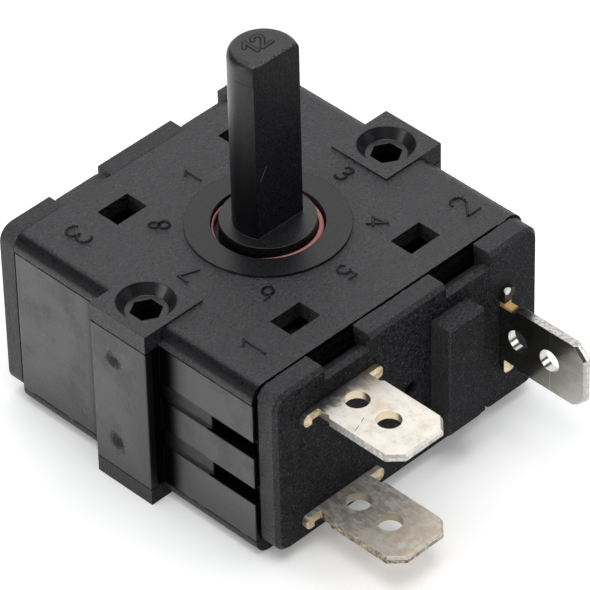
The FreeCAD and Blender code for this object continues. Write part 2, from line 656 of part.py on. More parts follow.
def make_seal_ring():
    body = new_body("seal_ring")
    outer = "seal_bore / 2"
    inner = "seal_bore / 2 - seal_wall"
    high = "dial_top - seal_drop"
    ring = Profile(body, "section", "XZ_Plane")
    ring.box(inner, "seal_floor", outer, high).spin()
    return body


def is_lug_corner(a, b):
    """The outer corners of a tab's two locking lugs."""
    front = num("-front_reach")
    lug_front = num("-front_reach - lug_deep")
    if not near(min(a.y, b.y), lug_front) or not near(max(a.y, b.y), front):
        return False
    out = num("tab_width / 2 + lug_out")
    if near(abs(a.x + num("tab_x")), out):
        faces = ["upper_level + tab_thick / 2", "upper_level - tab_thick / 2 - lug_turn",
                 "lower_level + tab_thick / 2", "lower_level - tab_thick / 2 - lug_turn"]
        return any(near(a.z, num(face)) for face in faces)
    if near(abs(a.z - num("mid_level")), out):
        faces = ["common_x - tab_thick / 2", "common_x + tab_thick / 2 + lug_turn"]
        return any(near(a.x, num(face)) for face in faces)
    return False


# A flat tab: blade with two holes, locking lugs, and an arm that carries the fixed contact.
def make_flat_terminal(name, level):
    body = new_body(name)
    low = level + " - tab_thick / 2"
    left = "-tab_x - tab_width / 2"
    right = "-tab_x + tab_width / 2"
    blade = Profile(body, "blade", lift=low)
    near_y = "-1 * contact_y + contact_width / 2"
    blade.outline([
        (left, "-1 * plug_reach"), (left, "-front_reach"), (left + " + neck_in", "-front_reach"),
        (left + " + neck_in", "-neck_end + neck_slope"), (left, "-neck_end"),
        (left, "-tab_reach + tab_corner"), (left + " + tab_corner", "-tab_reach"),
        (right + " - tab_corner", "-tab_reach"), (right, "-tab_reach + tab_corner"), (right, "-neck_end"),
        (right + " - neck_in", "-neck_end + neck_slope"), (right + " - neck_in", "-front_reach"),
        (right, "-front_reach"), (right, "-1 * plug_reach"),
        ("-contact_x + contact_width / 2", "-1 * plug_reach + over"),
        ("-contact_x + contact_width / 2", near_y),
        ("-contact_x - contact_width / 2", near_y), (left + " + over", "-1 * plug_reach + over"),
    ])
    blade.pad("tab_thick", "blade")
    tip = -num("tab_reach")
    middle = num(level)

    def is_tip_edge(a, b):
        flat_edge = near(a.z, b.z) and not near(a.z, middle)
        return flat_edge and near(min(a.y, b.y), tip)

    soften(body, "tab_bevel", is_tip_edge, "bevel", "Chamfer")
    lugs = Profile(body, "lugs", "XZ_Plane", lift="front_reach")
    high = low + " + tab_thick"
    for edge, out, into in ((left, " - ", " + "), (right, " + ", " - ")):
        tip = edge + out + "lug_out"
        inner = tip + into + "lug_wide"
        root = edge + into + "neck_in"
        lugs.outline([
            (root, high), (tip, high), (tip, low + " - lug_turn"), (inner, low + " - lug_turn"),
            (inner, low), (root, low),
        ])
    lugs.pad("lug_deep", "lugs")
    soften(body, "lug_round", is_lug_corner, "corners")
    holes = Profile(body, "holes", lift=low)
    for place in ("tab_hole_near", "tab_hole_far"):
        holes.circle("-tab_x", "-" + place, "tab_hole")
    holes.circle("-contact_x", "-1 * contact_y", "shank_width")
    holes.cut("tab_thick", "holes")
    return body


# The upright tab: blade with two holes, locking lugs, and a flange for each contact spring.
def make_common_terminal():
    body = new_body("common_terminal")
    low = "mid_level - tab_width / 2"
    high = "mid_level + tab_width / 2"
    side = "common_x - tab_thick / 2"
    back = "-1 * contact_y + leaf_wide / 2"
    blade = Profile(body, "blade", "YZ_Plane", lift=side)
    blade.outline([
        (back, low), (back, high), ("-front_reach", high), ("-front_reach", high + " - neck_in"),
        ("-neck_end + neck_slope", high + " - neck_in"), ("-neck_end", high),
        ("-tab_reach + tab_corner", high), ("-tab_reach", high + " - tab_corner"),
        ("-tab_reach", low + " + tab_corner"), ("-tab_reach + tab_corner", low), ("-neck_end", low),
        ("-neck_end + neck_slope", low + " + neck_in"), ("-front_reach", low + " + neck_in"),
        ("-front_reach", low),
    ])
    blade.pad("tab_thick", "blade")
    tip = -num("tab_reach")

    def is_tip_edge(a, b):
        return near(a.x, b.x) and near(min(a.y, b.y), tip)

    soften(body, "tab_bevel", is_tip_edge, "bevel", "Chamfer")
    flanges = Profile(body, "flanges", "XZ_Plane", lift="contact_y - leaf_wide / 2")
    flanges.box("flange_inner", high + " - tab_thick", "common_x", high)
    flanges.box("flange_inner", low, "common_x", low + " + tab_thick")
    flanges.pad("leaf_wide", "flanges")
    lugs = Profile(body, "lugs", "XZ_Plane", lift="front_reach")
    right = side + " + tab_thick"
    for edge, out, into in ((high, " + ", " - "), (low, " - ", " + ")):
        tip = edge + out + "lug_out"
        inner = tip + into + "lug_wide"
        root = edge + into + "neck_in"
        lugs.outline([
            (side, root), (side, tip), (right + " + lug_turn", tip), (right + " + lug_turn", inner),
            (right, inner), (right, root),
        ])
    lugs.pad("lug_deep", "lugs")
    soften(body, "lug_round", is_lug_corner, "corners")
    holes = Profile(body, "holes", "YZ_Plane", lift=side)
    for place in ("tab_hole_near", "tab_hole_far"):
        holes.circle("-" + place, "mid_level", "tab_hole")
    holes.cut("tab_thick", "holes")
    shanks = Profile(body, "rivet_holes", lift=low)
    shanks.circle("rivet_x", "-1 * contact_y", "shank_width").cut("tab_width", "rivet_holes")
    return body


# A contact spring: a strip with one hump that rides on the cam track.
def make_contact_spring(name, up):
    body = new_body(name)
    sign = "" if up else "-"
    inner = "mid_level + " + sign + "leaf_half"
    outer = inner + " + " + sign + "leaf_thick"
    dip = " - " + sign + "hump_high"
    near_end = "common_x - tab_thick / 2 - slip_gap"
    far_end = "-contact_x - contact_width / 2 - leaf_end"
    side = Profile(body, "side", "XZ_Plane", lift="contact_y - leaf_wide / 2")
    side.outline([
        (near_end, inner), ("hump_x + hump_run", inner), ("hump_x + hump_flat", inner + dip),
        ("hump_x - hump_flat", inner + dip), ("hump_x - hump_run", inner), (far_end, inner),
        (far_end, outer), ("hump_x - hump_run + leaf_thick / 2", outer),
        ("hump_x - hump_flat + leaf_thick / 2", outer + dip),
        ("hump_x + hump_flat - leaf_thick / 2", outer + dip),
        ("hump_x + hump_run - leaf_thick / 2", outer), (near_end, outer),
    ])
    side.pad("leaf_wide", "strip")
    holes = Profile(body, "holes", lift=inner)
    holes.circle("rivet_x", "-1 * contact_y", "shank_width").cut("leaf_thick", "holes", back=not up)
    return body


def make_contact(name, face, high, head_up, staked):
    """A contact button on a strip's face; a staked one has a shank through the strip."""
    body = new_body(name)
    place = ("-contact_x", "-1 * contact_y")
    head = Profile(body, "head", lift=face).circle(*place, "contact_width").pad(high, "head", not head_up)
    bind(head, "TaperAngle", "-contact_taper * 1 deg")
    if staked:
        Profile(body, "shank", lift=face).circle(*place, "shank_width").pad("tab_thick", "shank", head_up)
        far = face + (" - tab_thick" if head_up else " + tab_thick")
        Profile(body, "stake", lift=far).circle(*place, "stake_width").pad("stake_high", "stake", head_up)
    return body


def make_spring_rivets():
    """Two rivets, headed outside and flush inside, that hold the contact springs to the upright tab."""
    pair = []
    for name, up in (("upper_rivet", True), ("lower_rivet", False)):
        sign = "" if up else "-"
        outer = "mid_level + " + sign + "tab_width / 2"
        inner = "mid_level + " + sign + "leaf_half"
        body = new_body(name)
        place = ("rivet_x", "-1 * contact_y")
        grip = "(tab_thick + leaf_thick)"
        Profile(body, "shank", lift=inner).circle(*place, "shank_width").pad(grip, "shank", not up)
        Profile(body, "head", lift=outer).circle(*place, "stake_width").pad("stake_high", "head", not up)
        pair.append(body)
    doc.recompute()
    both = doc.addObject("Part::Compound", "spring_rivets")
    both.Label = "spring_rivets"
    both.Links = pair
    return both


def make_detent_spring():
    """A bowed strip whose hump drops into the index wheel's notches."""
    body = new_body("detent_spring")
    tip = "wheel_width / 2 - notch_deep + detent_gap"
    end_front = "plug_reach - detent_thick - slip_gap"
    shoulder = end_front + " - detent_rise"
    strip = Profile(body, "strip", lift="mid_level - detent_wide / 2")
    strip.outline([
        ("-detent_half", end_front), ("-detent_foot", shoulder), ("-detent_tip", tip), ("detent_tip", tip),
        ("detent_foot", shoulder), ("detent_half", end_front), ("detent_half", end_front + " + detent_thick"),
        ("detent_foot - detent_thick / 2", shoulder + " + detent_thick"),
        ("detent_tip - detent_thick / 2", tip + " + detent_thick"),
        ("-detent_tip + detent_thick / 2", tip + " + detent_thick"),
        ("-detent_foot + detent_thick / 2", shoulder + " + detent_thick"),
        ("-detent_half", end_front + " + detent_thick"),
    ])
    strip.pad("detent_wide", "strip")
    return body


parts = [
    make_top_cover(),
    make_bottom_cover(),
    make_middle_body(),
    make_front_block(),
    make_rear_block(),
    make_shaft(),
    make_cam("upper_cam", True, "valley_start", "valley_end", "4"),
    make_cam("lower_cam", False, "valley_start - step_angle * 1 deg", "valley_end", "2"),
    make_index_wheel(),
    make_seal_ring(),
    make_flat_terminal("upper_terminal", "upper_level"),
    make_flat_terminal("lower_terminal", "lower_level"),
    make_common_terminal(),
    make_contact_spring("upper_contact_spring", True),
    make_contact_spring("lower_contact_spring", False),
    make_contact("upper_fixed_contact", "upper_face", "upper_head", False, True),
    make_contact("lower_fixed_contact", "lower_face", "lower_head", True, True),
    make_contact("upper_moving_contact", "upper_spring_face", "upper_head", True, False),
    make_contact("lower_moving_contact", "lower_spring_face", "lower_head", False, False),
    make_spring_rivets(),
    make_detent_spring(),
]
doc.recompute()

for thing in doc.Objects:
    if "Invalid" in thing.State or "Error" in thing.State:
        raise RuntimeError(thing.Name + " failed: " + str(thing.State))
os.makedirs("parts", exist_ok=True)
for part in parts:
    if part.Shape.isNull() or not part.Shape.isValid():
        raise RuntimeError(part.Label + " has no valid shape")
    part.Shape.exportStep(os.path.join("parts", part.Label + ".step"))
    print(part.Label, len(part.Shape.Solids), round(part.Shape.Volume, 2))
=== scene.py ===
# %% [markdown]
# # A rotary switch
# A square moulded case holds the switch. A D-ended shaft comes out of its top, and three
# push-on tabs leave its front. The solids of every rigid piece are loaded here as they are,
# and this notebook gives them their finishes: fine-grained black nylon, satin black walls, tin
# plating that has worn to brass, and a soft red ring round the shaft.

# %% Load the solids
import math
from functools import reduce

import bmesh
import bpy
from mathutils import Matrix, Vector


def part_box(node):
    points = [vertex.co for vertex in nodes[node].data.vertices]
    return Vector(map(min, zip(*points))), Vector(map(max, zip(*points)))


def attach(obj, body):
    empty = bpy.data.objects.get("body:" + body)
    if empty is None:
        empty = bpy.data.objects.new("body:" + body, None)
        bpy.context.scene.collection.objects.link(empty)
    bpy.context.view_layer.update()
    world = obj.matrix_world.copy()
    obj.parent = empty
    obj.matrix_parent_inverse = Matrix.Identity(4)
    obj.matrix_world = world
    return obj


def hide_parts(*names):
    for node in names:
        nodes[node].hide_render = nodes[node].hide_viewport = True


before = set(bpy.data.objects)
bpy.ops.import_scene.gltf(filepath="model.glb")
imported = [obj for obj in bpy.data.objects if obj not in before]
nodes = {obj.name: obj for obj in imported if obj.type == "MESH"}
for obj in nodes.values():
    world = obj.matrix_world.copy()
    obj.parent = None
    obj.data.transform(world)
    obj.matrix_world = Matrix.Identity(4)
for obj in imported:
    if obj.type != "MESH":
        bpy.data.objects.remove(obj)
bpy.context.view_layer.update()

MM = 0.001

# %% [markdown]
# ## The camera
# A long lens from far away keeps the edges of the case nearly parallel, as they are in a
# product photo. The place, the aim and a small roll came from matching the corners of the case,
# so they are plain numbers. Rolling about the view's own axis comes last, so it doesn't move
# the aim.

# %% Set up the camera
CAMERA_PLACE = Vector((-234.302, -243.621, 296.591)) * MM
CAMERA_AIM = Vector((4.98, 2.16, 5.94)) * MM
CAMERA_ROLL = math.radians(-1.447)
SENSOR_MM = 36
LENS_MM = 323.83
NEAREST_MM = 10


def new_object(name, data):
    """Puts a mesh, a lamp or a camera into the scene."""
    thing = bpy.data.objects.new(name, data)
    bpy.context.collection.objects.link(thing)
    return thing


lens_data = bpy.data.cameras.new("camera")
lens_data.sensor_width = SENSOR_MM
lens_data.lens = LENS_MM
lens_data.clip_start = NEAREST_MM * MM
camera = new_object("camera", lens_data)
look = (CAMERA_AIM - CAMERA_PLACE).to_track_quat("-Z", "Y").to_matrix().to_4x4()
camera.matrix_world = Matrix.Translation(CAMERA_PLACE) @ look @ Matrix.Rotation(CAMERA_ROLL, 4, "Z")
bpy.context.scene.camera = camera
print("camera at", tuple(round(v, 3) for v in camera.location))

# %% [markdown]
# ## Floor
# The floor is a plain pale sheet, far larger than the switch, so that its edges stay out of
# sight. It lies a hair below the switch, because two faces at one level would flicker.

# %% Lay the floor
FLOOR_HALF = 3.0
FLOOR_DROP = 0.02 * MM
FLOOR_CORNERS = ((-1, -1), (1, -1), (1, 1), (-1, 1))
floor_mesh = bpy.data.meshes.new("floor")
floor_mesh.from_pydata([(x * FLOOR_HALF, y * FLOOR_HALF, 0) for x, y in FLOOR_CORNERS],
                       [], [(0, 1, 2, 3)])
floor = new_object("floor", floor_mesh)
floor.location.z = -FLOOR_DROP
print("floor", 2 * FLOOR_HALF, "metres square")

# %% [markdown]
# ## Light
# Black plastic shows its shape only by what it reflects, so the lamps matter more than its
# colour: a broad one from above greys the top, one from behind and one from the left grey the
# shaft and the side walls, and the dark gaps between them draw the rounded edges. A weaker one in
# front lights the bevelled ends of the tabs.

# %% Hang the lamps
CASE_MIDDLE = Vector((0, 0, 10))
SKY = (0.92, 0.95, 1.0, 1)
SKY_STRENGTH = 0.14


def softbox(name, place, size, power):
    """A white rectangular lamp that points at the case, in millimetres and watts."""
    data = bpy.data.lights.new(name, "AREA")
    data.shape = "RECTANGLE"
    data.size = size[0] * MM
    data.size_y = size[1] * MM
    data.energy = power
    lamp = new_object(name, data)
    lamp.location = Vector(place) * MM
    lamp.rotation_euler = ((CASE_MIDDLE - Vector(place)) * MM).to_track_quat("-Z", "Y").to_euler()


softbox("lamp_top", (-60, -60, 640), (520, 520), 3.2)
softbox("lamp_rear", (300, 330, 360), (760, 760), 1.95)
softbox("lamp_left", (-430, 160, 150), (260, 180), 0.5)
softbox("lamp_front", (330, -400, 330), (300, 240), 0.45)
world = bpy.data.worlds.new("studio")
bpy.context.scene.world = world
world.use_nodes = True
sky = world.node_tree.nodes["Background"]
sky.inputs["Color"].default_value = SKY
sky.inputs["Strength"].default_value = SKY_STRENGTH
bpy.context.scene.view_settings.view_transform = "Standard"

# %% [markdown]
# ## Writing finishes as sums
# A material in Blender is a net of nodes. It is easier to read as arithmetic, so `Value` wraps
# one output of a node and turns `a * b` into a Multiply node. Masks are values from 0 to 1, and
# the highest of several masks shows wherever one of them does. Places on the switch are in
# millimetres: x and y from the shaft's axis, with the tabs at negative y, and z from the underside.

# %% Values that can be used in sums
class Value:
    """One output of a node, which can be used in sums with numbers and other values."""

    def __init__(self, finish, socket):
        self.finish = finish
        self.socket = socket

    def math(self, operation, *others):
        return self.finish.add("ShaderNodeMath", {"operation": operation}, [self, *others])

    def __add__(self, other):
        return self.math("ADD", other)

    def __radd__(self, other):
        return self.math("ADD", other)

    def __sub__(self, other):
        return self.math("SUBTRACT", other)

    def __rsub__(self, other):
        return self.finish.add("ShaderNodeMath", {"operation": "SUBTRACT"}, [other, self])

    def __mul__(self, other):
        return self.math("MULTIPLY", other)

    def __rmul__(self, other):
        return self.math("MULTIPLY", other)

    def __truediv__(self, other):
        return self.math("DIVIDE", other)

    def __pow__(self, other):
        return self.math("POWER", other)

    def __gt__(self, other):
        return self.math("GREATER_THAN", other)

    def __lt__(self, other):
        return self.math("LESS_THAN", other)

    def abs(self):
        return self.math("ABSOLUTE")

    def low(self, other):
        return self.math("MINIMUM", other)

    def high(self, other):
        return self.math("MAXIMUM", other)

    def steps(self, start, end):
        """Changes smoothly from 0 at start to 1 at end. Start may be above end."""
        return self.finish.add("ShaderNodeMapRange", {"interpolation_type": "SMOOTHSTEP"},
                               {"Value": self, "From Min": start, "From Max": end})


def highest(*values):
    return reduce(Value.high, values)


def lowest(*values):
    return reduce(Value.low, values)


# %% [markdown]
# `Finish` owns a material and has one method, `add`, which makes any node from its type, its
# settings and its inputs. The other methods are the few things that these finishes are made of:
# clouds, grains, distances, torn lines, a relief, and a second shader laid over the first.

# %% A finish
# A Mix node has sockets for each kind of data. These are the places of those for colours.
MIX_SHARE, MIX_FIRST, MIX_SECOND, MIX_RESULT = 0, 6, 7, 2


class Finish:
    """A procedural material, built round one Principled shader."""

    def __init__(self, name, **constants):
        self.material = bpy.data.materials.new(name)
        self.material.use_nodes = True
        self.tree = self.material.node_tree
        self.shader = self.tree.nodes["Principled BSDF"]
        for socket, constant in constants.items():
            self.shader.inputs[socket.replace("_", " ")].default_value = constant
        self.place = self.add("ShaderNodeTexCoord", {}, {}, "Object")
        self.facing = self.add("ShaderNodeTexCoord", {}, {}, "Normal")
        self.millimetres = self.add("ShaderNodeVectorMath", {"operation": "SCALE"},
                                    {0: self.place, "Scale": 1 / MM})
        self.x, self.y, self.z = (self.split(self.millimetres, axis) for axis in "XYZ")

    def add(self, kind, settings, inputs, output=0):
        """Makes a node: its settings first, then its inputs, by order or by name."""
        node = self.tree.nodes.new(kind)
        for key, setting in settings.items():
            setattr(node, key, setting)
        named = inputs.items() if isinstance(inputs, dict) else enumerate(inputs)
        for key, given in named:
            if isinstance(given, Value):
                self.tree.links.new(given.socket, node.inputs[key])
            else:
                node.inputs[key].default_value = given
        return Value(self, node.outputs[output])

    def vector(self, operation, first, second, output=0):
        return self.add("ShaderNodeVectorMath", {"operation": operation}, [first, second], output)

    def split(self, vector, axis):
        return self.add("ShaderNodeSeparateXYZ", {}, [vector], axis)

    def towards(self, axis):
        """How squarely the surface faces along an axis, from -1 to 1."""
        return self.split(self.facing, axis)

    def noise(self, size_mm, detail=3.0, roughness=0.55, stretch=(1, 1, 1)):
        """Cloudy values round 0.5, with features of the given size in millimetres."""
        return self.add("ShaderNodeTexNoise", {},
                        {"Vector": self.vector("MULTIPLY", self.place, stretch),
                         "Scale": 1 / (size_mm * MM), "Detail": detail, "Roughness": roughness}, "Fac")

    def grains(self, size_mm):
        """Distance to the nearest of many scattered grains."""
        return self.add("ShaderNodeTexVoronoi", {},
                        {"Vector": self.place, "Scale": 1 / (size_mm * MM)}, "Distance")

    def mix(self, share, first, second):
        """A colour between two colours."""
        return self.add("ShaderNodeMix", {"data_type": "RGBA"},
                        {MIX_SHARE: share, MIX_FIRST: first, MIX_SECOND: second}, MIX_RESULT)

    def distance(self, point, flat=False):
        """Distance in millimetres from a point, or from an upright line through it."""
        across = (self.x - point[0]) ** 2 + (self.y - point[1]) ** 2
        if not flat:
            across = across + (self.z - point[2]) ** 2
        return across ** 0.5

    def near_line(self, points):
        """Distance in millimetres from a line through the points."""
        apart = []
        for start, end in zip(points, points[1:]):
            way = Vector(end) - Vector(start)
            offset = self.vector("SUBTRACT", self.millimetres, start)
            share = self.vector("DOT_PRODUCT", offset, way, "Value") / way.length_squared
            along = self.add("ShaderNodeVectorMath", {"operation": "SCALE"},
                             {0: way, "Scale": share.high(0.0).low(1.0)})
            apart.append(self.vector("DISTANCE", offset, along, "Value"))
        return lowest(*apart)

    def ragged_line(self, apart, half_mm, gaps=0.0):
        """1 within half_mm of where apart is 0, with torn sides. The higher gaps is, the more
        of the line is left out."""
        torn = self.noise(0.35, 3.0, 0.7)
        line = (apart.abs() + (torn - 0.5) * half_mm * 1.6).steps(half_mm, half_mm * 0.6)
        if gaps:
            line = line * self.noise(2.4, 2.0).steps(gaps, gaps + 0.03)
        return line

    def bump(self, height, depth_mm, edge_mm=0.0):
        """A normal for a relief that is depth_mm deep, over edges softened by edge_mm."""
        base = {"Height": height, "Distance": depth_mm * MM, "Strength": 1.0}
        if edge_mm:
            base["Normal"] = self.add("ShaderNodeBevel", {"samples": 6}, {"Radius": edge_mm * MM})
        return self.add("ShaderNodeBump", {}, base)

    def drive(self, **links):
        """Feeds values into the shader's sockets."""
        for socket, value in links.items():
            self.tree.links.new(value.socket, self.shader.inputs[socket.replace("_", " ")])

    def overlay(self, share, **constants):
        """Lays a second shader over what is there; share says where it shows, from 0 to 1. Values
        that drive the first shader drive it too, except where a constant is given."""
        surface = self.tree.nodes["Material Output"].inputs["Surface"]
        lower = Value(self, surface.links[0].from_socket)
        inputs = {link.to_socket.name: Value(self, link.from_socket)
                  for link in self.tree.links if link.to_node == self.shader}
        for socket, constant in constants.items():
            inputs[socket.replace("_", " ")] = constant
        upper = self.add("ShaderNodeBsdfPrincipled", {}, inputs)
        mixed = self.add("ShaderNodeMixShader", {}, [share, lower, upper])
        self.tree.links.new(mixed.socket, surface)

    def dress(self, *names):
        """Gives the named solids this finish."""
        for name in names:
            nodes[name].data.materials.clear()
            nodes[name].data.materials.append(self.material)
        print(self.material.name, "on", ", ".join(names))


# %% [markdown]
# ## Pale floor
# The floor has only a trace of mottling, so that it reads as a sheet and not as empty space. It
# glows a little, like a sheet lit from below, which keeps the shadows on it light.

# %% Floor finish
PALE = (0.90, 0.90, 0.90, 1)
PALER = (0.94, 0.94, 0.94, 1)
WHITE = (1, 1, 1, 1)
MOTTLING_MM = 90.0
floor_finish = Finish("floor_sheet", Roughness=0.9, Specular_IOR_Level=0.2,
                      Emission_Color=WHITE, Emission_Strength=0.20)
floor_finish.drive(Base_Color=floor_finish.mix(floor_finish.noise(MOTTLING_MM), PALE, PALER))
floor.data.materials.append(floor_finish.material)
print(floor_finish.material.name, "on", floor.name)

# %% [markdown]
# ## Grained black nylon
# The cover, the base and both end blocks are moulded in nylon with a fine spark-eroded grain.
# Black plastic has almost no colour of its own: what is seen is its sheen. So the base colour
# is nearly black, and the grain works on the gloss and on the normal. Its bumps are a quarter of
# a millimetre across. A few pale dust specks lie on it, each smaller than a grain of salt.

# %% Grained nylon
BLACK = (0.002, 0.002, 0.003, 1)
SOFT_BLACK = (0.034, 0.033, 0.037, 1)
PIT = (0.001, 0.001, 0.0015, 1)
DUST = (0.42, 0.41, 0.40, 1)
# A grey for painted glints on the grain.
PAINTED_GLINT = (0.18, 0.175, 0.185, 1)
GRAIN_MM = 0.25


def dusting(finish, spacing_mm, size_mm):
    """Where dust lies: one speck in each cell of the given spacing, most of them left out."""
    near = finish.grains(spacing_mm) * spacing_mm
    kept = finish.noise(spacing_mm * 2.5, 0.0).steps(0.60, 0.64)
    return near.steps(size_mm, size_mm * 0.5) * kept


def grained_nylon(name, specular, roughness, sparkle):
    """Returns the finish, its colour, its roughness and its grain. The sparkle says how bright the
    painted glints on the tips of the finest grains are."""
    finish = Finish(name, Specular_IOR_Level=specular)
    cloud = finish.noise(5.0, 4.0)
    coarse = finish.noise(GRAIN_MM, 3.0, 0.7)
    fine = finish.noise(GRAIN_MM * 0.45, 2.0, 0.6)
    relief = coarse * 0.65 + fine * 0.35
    dust = dusting(finish, 1.3, 0.055)
    # Pale specks on the tips of the finest grains: painted glints.
    painted_glitter = finish.noise(0.16, 2.0, 0.8).steps(0.58, 0.68) * sparkle
    greyed = (coarse.steps(0.42, 0.58) * 0.75 + cloud * 0.15).low(1.0)
    colour = finish.mix(painted_glitter, finish.mix(greyed, BLACK, SOFT_BLACK), PAINTED_GLINT)
    rough = cloud * 0.10 + (roughness - 0.05) + (coarse - 0.5) * 1.1
    return finish, finish.mix(dust * 0.8, colour, DUST), rough, relief


def side_face_shade(finish):
    """1 on the faces towards +Y and -Y, where a duller shader is laid over as painted shade, and 0
    elsewhere.
    """
    return finish.towards("Y").abs().steps(0.55, 0.9)


def blacken(finish, share):
    """Makes joints and deep corners black, because hardly any light comes back out of them."""
    finish.overlay(share, Base_Color=PIT, Specular_IOR_Level=0.02)


# %% [markdown]
# ## The cover
# The cover is grained all over, but the raised ring and the cones for the screw heads were
# polished in the mould. Its rounded edges are smoother than its flat faces, and a black, dull
# shader laid on them is painted shade: they are where a normal points along none of the three
# axes. Its faces towards +Y and -Y have less sheen, also painted shade. Thin dark lines mark its
# lower edge and its front edge, where it meets the case and the front block, and the wall under
# its front edge is darkened as painted shade.

# %% Cover finish
COVER_TOP = 18.0
COVER_FOOT = 16.4
DIAL_RADIUS = 7.0
SCREW_X = 14
CONE_RADIUS = 2.5
PAD_INNER = 15.9
COVER_FRONT = -13.9
cover_finish, colour, rough, relief = grained_nylon("cover_nylon", 0.60, 0.41, 0.4)
from_shaft = cover_finish.distance((0, 0, COVER_TOP), flat=True)
on_dial = from_shaft.steps(DIAL_RADIUS + 0.05, DIAL_RADIUS - 0.05) * (cover_finish.z > COVER_TOP + 0.05)
from_screw = lowest(*[cover_finish.distance((x, 0, COVER_TOP), flat=True) for x in (-SCREW_X, SCREW_X)])
smooth = on_dial.high(from_screw.steps(CONE_RADIUS + 0.1, CONE_RADIUS - 0.1))
straight = highest(*[cover_finish.towards(axis).abs() for axis in "XYZ"])
rounded = straight.steps(0.985, 0.86)
grain = relief * (1 - smooth * 0.97) * (1 - rounded * 0.7)
cover_finish.drive(Base_Color=cover_finish.mix(smooth * 0.7, colour, BLACK),
                   Roughness=rough * (1 - smooth) + smooth * 0.33,
                   Normal=cover_finish.bump(grain, 0.24, 0.10))
cover_finish.overlay(on_dial * 0.8, Specular_IOR_Level=0.40)
# The faces towards +Y and -Y get less sheen: painted shade.
cover_finish.overlay(side_face_shade(cover_finish), Specular_IOR_Level=0.08)
# A black, dull shader on the rounded edges: painted shade.
cover_finish.overlay(rounded * (1 - smooth) * 0.85, Base_Color=BLACK, Specular_IOR_Level=0.12)
side_foot = cover_finish.ragged_line(cover_finish.z - COVER_FOOT, 0.07, 0.35)
pad_foot = cover_finish.ragged_line(cover_finish.z - COVER_FOOT, 0.05)
pad_foot = pad_foot * (cover_finish.x.abs() > PAD_INNER)
front_edge = cover_finish.ragged_line(cover_finish.y - COVER_FRONT, 0.11, 0.30)
front_edge = front_edge * (cover_finish.z > COVER_TOP - 0.4)
# The wall under the front edge is darkened: painted shade.
front_wall_shade = (cover_finish.y < COVER_FRONT + 0.1) * (cover_finish.z < COVER_TOP - 0.3) * 0.75
blacken(cover_finish, highest(side_foot, pad_foot, front_edge, front_wall_shade))
cover_finish.dress("top_cover")

# %% [markdown]
# ## Base and end blocks
# These are grained too. The base shows only its edge, which is duller. The grain of the end
# blocks is deeper. Their faces towards +Y and -Y have less sheen, as painted shade. Where the
# front block meets the cover there is a dark joint, and in its two notches the back wall is
# darkened as painted shade.

# %% Base and block finishes
BASE_TOP = 1.65
BLOCK_JOINT = -14.02
NOTCH_TOP = 17.0
base_finish, colour, rough, relief = grained_nylon("base_nylon", 0.32, 0.42, 0.3)
base_finish.drive(Base_Color=colour, Roughness=rough, Normal=base_finish.bump(relief, 0.24, 0.10))
# Less sheen on the faces towards +Y and -Y: painted shade.
base_finish.overlay(side_face_shade(base_finish), Specular_IOR_Level=0.08)
blacken(base_finish, base_finish.ragged_line(base_finish.z - BASE_TOP, 0.06, 0.40))
base_finish.dress("bottom_cover")

block_finish, colour, rough, relief = grained_nylon("block_nylon", 0.58, 0.48, 0.45)
block_finish.drive(Base_Color=colour, Roughness=rough, Normal=block_finish.bump(relief, 0.34, 0.22))
# Less sheen on the faces towards +Y and -Y: painted shade.
block_finish.overlay(side_face_shade(block_finish), Specular_IOR_Level=0.05)
from_joint = block_finish.y - BLOCK_JOINT
joint = block_finish.ragged_line(from_joint, 0.07, 0.45) * (block_finish.z > NOTCH_TOP)
# The back wall of each notch is darkened: painted shade.
notch_wall_shade = (from_joint.abs() < 0.18) * (block_finish.z < NOTCH_TOP) * 0.92
blacken(block_finish, joint.high(notch_wall_shade))
block_finish.dress("front_terminal_block", "rear_block")

# %% [markdown]
# ## Satin walls
# The case between the covers came out of a polished mould. Its walls are smoother, with faint
# streaks where the plastic flowed, and they mirror the pale floor softly. A dull black shader is
# laid over the shiny one by a mask: as painted shade on the faces towards +Y and -Y, beside the
# ears, across the ears' faces and towards the foot, and as a random dull tone in a few clouds.
# The corner beside each ear is blackened, also painted shade.

# %% Satin walls
EAR_START = 16.2
wall_finish = Finish("case_satin", Specular_IOR_Level=0.95)
sideways, lengthwise = wall_finish.x.abs(), wall_finish.y.abs()
streaks = wall_finish.noise(3.0, 4.0, 0.6, (0.25, 0.25, 1.0))
fine = wall_finish.noise(0.22, 3.0, 0.75)
dust = dusting(wall_finish, 1.6, 0.05)
streaked = wall_finish.mix(streaks, BLACK, SOFT_BLACK)
wall_finish.drive(Base_Color=wall_finish.mix(dust * 0.6, streaked, DUST),
                  Roughness=0.34 + (streaks - 0.5) * 0.12 + (fine - 0.5) * 0.35,
                  Normal=wall_finish.bump(streaks * 0.3 + fine * 0.7, 0.05, 0.30))
# The faces towards +Y and -Y are made black and dull: painted shade.
wall_finish.overlay(side_face_shade(wall_finish), Base_Color=BLACK, Specular_IOR_Level=0.04)
# Darker beside the ears, across the ears' faces and towards the foot: painted shade. The clouds are a
# random dull tone.
beside_ear_shade = lengthwise.steps(7.0, 3.2) * (sideways < EAR_START) * 0.75
ear_face_shade = wall_finish.y.steps(0.5, -3.4) * (sideways > EAR_START) * 0.45
low_down_shade = wall_finish.z.steps(6.5, 1.5) * 0.45
cloudy = wall_finish.noise(5.0, 5.0, 0.65).steps(0.42, 0.68) * 0.5
wall_finish.overlay(highest(beside_ear_shade, ear_face_shade, low_down_shade, cloudy), Base_Color=BLACK,
                    Specular_IOR_Level=0.35)
# The corner beside each ear is blackened: painted shade.
ear_corner_shade = lengthwise.steps(5.6, 4.0) * (sideways < EAR_START + 0.4)
blacken(wall_finish, ear_corner_shade)
